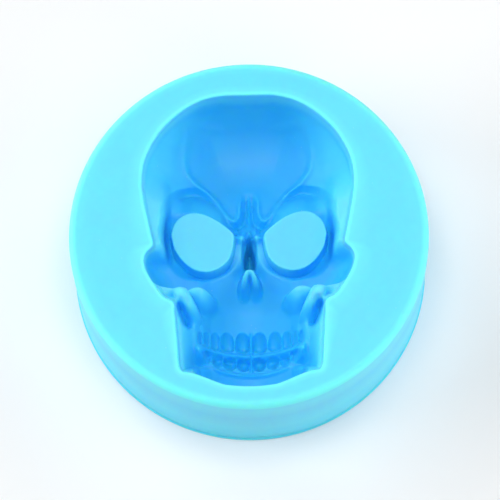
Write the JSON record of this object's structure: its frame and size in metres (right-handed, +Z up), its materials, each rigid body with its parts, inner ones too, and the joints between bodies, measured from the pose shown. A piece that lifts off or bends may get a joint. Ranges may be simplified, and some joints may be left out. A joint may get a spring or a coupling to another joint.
{
  "type": "silicone skull cake mould",
  "caption": "Round one-piece silicone cake mould with a deep skull-shaped hollow in its top face, standing on a flat base.",
  "frame": {"origin": "middle of the flat base, under the middle of the round block", "axes": "+Z up out of the hollow, +Y towards the forehead of the skull, +X to the right of the picture"},
  "size_m": [0.0734, 0.0734, 0.0273],
  "materials": {
    "silicone_rubber": "opaque sky-blue food-grade silicone rubber, moulded, satin"
  },
  "bodies": {
    "root": {"mould_body": "silicone_rubber"}
  },
  "joints": []
}
